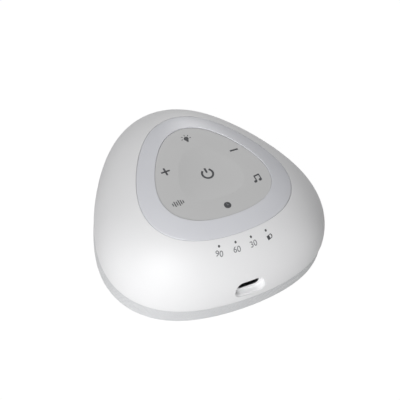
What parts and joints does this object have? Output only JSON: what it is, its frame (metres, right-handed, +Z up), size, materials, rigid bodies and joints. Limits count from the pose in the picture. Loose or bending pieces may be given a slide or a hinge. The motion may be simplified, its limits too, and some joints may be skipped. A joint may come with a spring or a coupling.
{
  "type": "white noise sound machine",
  "caption": "Low domed sound machine on a rounded triangle, with a soft dished keypad in a frosted light ring, a cloth band around the foot and a charging socket.",
  "frame": {"origin": "on the upright middle axis of the rounded triangle, in the plane that the rubber foot stands on", "axes": "+Z up through the keypad, -Y towards the front with the charging socket, +X to the right of someone facing the front"},
  "size_m": [0.0924, 0.0905, 0.0348],
  "materials": {
    "shell_white": "satin",
    "ring_frosted": "frosted",
    "skin_grey": "soft matte",
    "key_plastic": "matte",
    "plunger_black": "matte",
    "switch_black": "matte",
    "baffle_white": "matte",
    "board_green": "satin",
    "light_chip": "satin",
    "screw_steel": "satin",
    "speaker_steel": "black",
    "magnet_ferrite": "dull",
    "cone_paper": "pressed paper",
    "coil_copper": "enamelled",
    "surround_rubber": "matte",
    "battery_wrap": "foil",
    "lead_cover": "satin",
    "inner_plastic": "matte",
    "cloth_grey": "woven",
    "foot_rubber": "matte"
  },
  "bodies": {
    "housing": {"amplifier_chip": "switch_black", "base_cover": "inner_plastic", "base_screws": "screw_steel", "battery": "battery_wrap", "battery_leads": "lead_cover", "battery_pad": "surround_rubber", "battery_plug": "baffle_white", "board_connectors": "baffle_white", "board_screws": "screw_steel", "charge_chip": "switch_black", "chassis_screws": "screw_steel", "control_chip": "switch_black", "grille_frame": "inner_plastic", "key_frame": "key_plastic", "keypad_skin": "skin_grey", "light_baffle": "baffle_white", "light_ring": "ring_frosted", "main_board": "board_green", "memory_chip": "switch_black", "ring_lights": "light_chip", "rubber_foot": "foot_rubber", "socket_board": "board_green", "socket_board_screws": "screw_steel", "socket_flat_cable": "lead_cover", "speaker_basket": "speaker_steel", "speaker_chassis": "inner_plastic", "speaker_cloth": "cloth_grey", "speaker_gasket": "surround_rubber", "speaker_leads": "lead_cover", "speaker_magnet": "magnet_ferrite", "speaker_screws": "screw_steel", "speaker_spider": "cone_paper", "speaker_surround": "surround_rubber", "speaker_top_plate": "speaker_steel", "speaker_yoke": "speaker_steel", "status_light_pipes": "ring_frosted", "status_lights": "light_chip", "switch_bodies": "switch_black", "top_shell": "shell_white", "usb_socket_shell": "screw_steel", "usb_socket_tongue": "switch_black"},
    "light_button": {"light_key": "key_plastic", "light_switch_plunger": "plunger_black"},
    "minus_button": {"minus_key": "key_plastic", "minus_switch_plunger": "plunger_black"},
    "lullaby_button": {"lullaby_key": "key_plastic", "lullaby_switch_plunger": "plunger_black"},
    "timer_button": {"timer_key": "key_plastic", "timer_switch_plunger": "plunger_black"},
    "noise_button": {"noise_key": "key_plastic", "noise_switch_plunger": "plunger_black"},
    "plus_button": {"plus_key": "key_plastic", "plus_switch_plunger": "plunger_black"},
    "power_button": {"power_key": "key_plastic", "power_switch_plunger": "plunger_black"},
    "speaker_diaphragm": {"speaker_cone": "cone_paper", "voice_coil": "coil_copper", "dust_cap": "cone_paper"}
  },
  "joints": [
    {"name": "light_press", "type": "slide", "parent": "housing", "child": "light_button", "axis": [0, 0, -1], "range_m": [0, 0.00035], "stiffness_N_per_m": 600, "springref_m": -0.002},
    {"name": "minus_press", "type": "slide", "parent": "housing", "child": "minus_button", "axis": [0, 0, -1], "range_m": [0, 0.00035], "stiffness_N_per_m": 600, "springref_m": -0.002},
    {"name": "lullaby_press", "type": "slide", "parent": "housing", "child": "lullaby_button", "axis": [0, 0, -1], "range_m": [0, 0.00035], "stiffness_N_per_m": 600, "springref_m": -0.002},
    {"name": "timer_press", "type": "slide", "parent": "housing", "child": "timer_button", "axis": [0, 0, -1], "range_m": [0, 0.00035], "stiffness_N_per_m": 600, "springref_m": -0.002},
    {"name": "noise_press", "type": "slide", "parent": "housing", "child": "noise_button", "axis": [0, 0, -1], "range_m": [0, 0.00035], "stiffness_N_per_m": 600, "springref_m": -0.002},
    {"name": "plus_press", "type": "slide", "parent": "housing", "child": "plus_button", "axis": [0, 0, -1], "range_m": [0, 0.00035], "stiffness_N_per_m": 600, "springref_m": -0.002},
    {"name": "power_press", "type": "slide", "parent": "housing", "child": "power_button", "axis": [0, 0, -1], "range_m": [0, 0.00035], "stiffness_N_per_m": 600, "springref_m": -0.002},
    {"name": "cone_travel", "type": "slide", "parent": "housing", "child": "speaker_diaphragm", "axis": [0, 0, -1], "range_m": [-0.0006, 0.0006], "stiffness_N_per_m": 900, "deforming": ["speaker_surround", "speaker_spider"]}
  ]
}
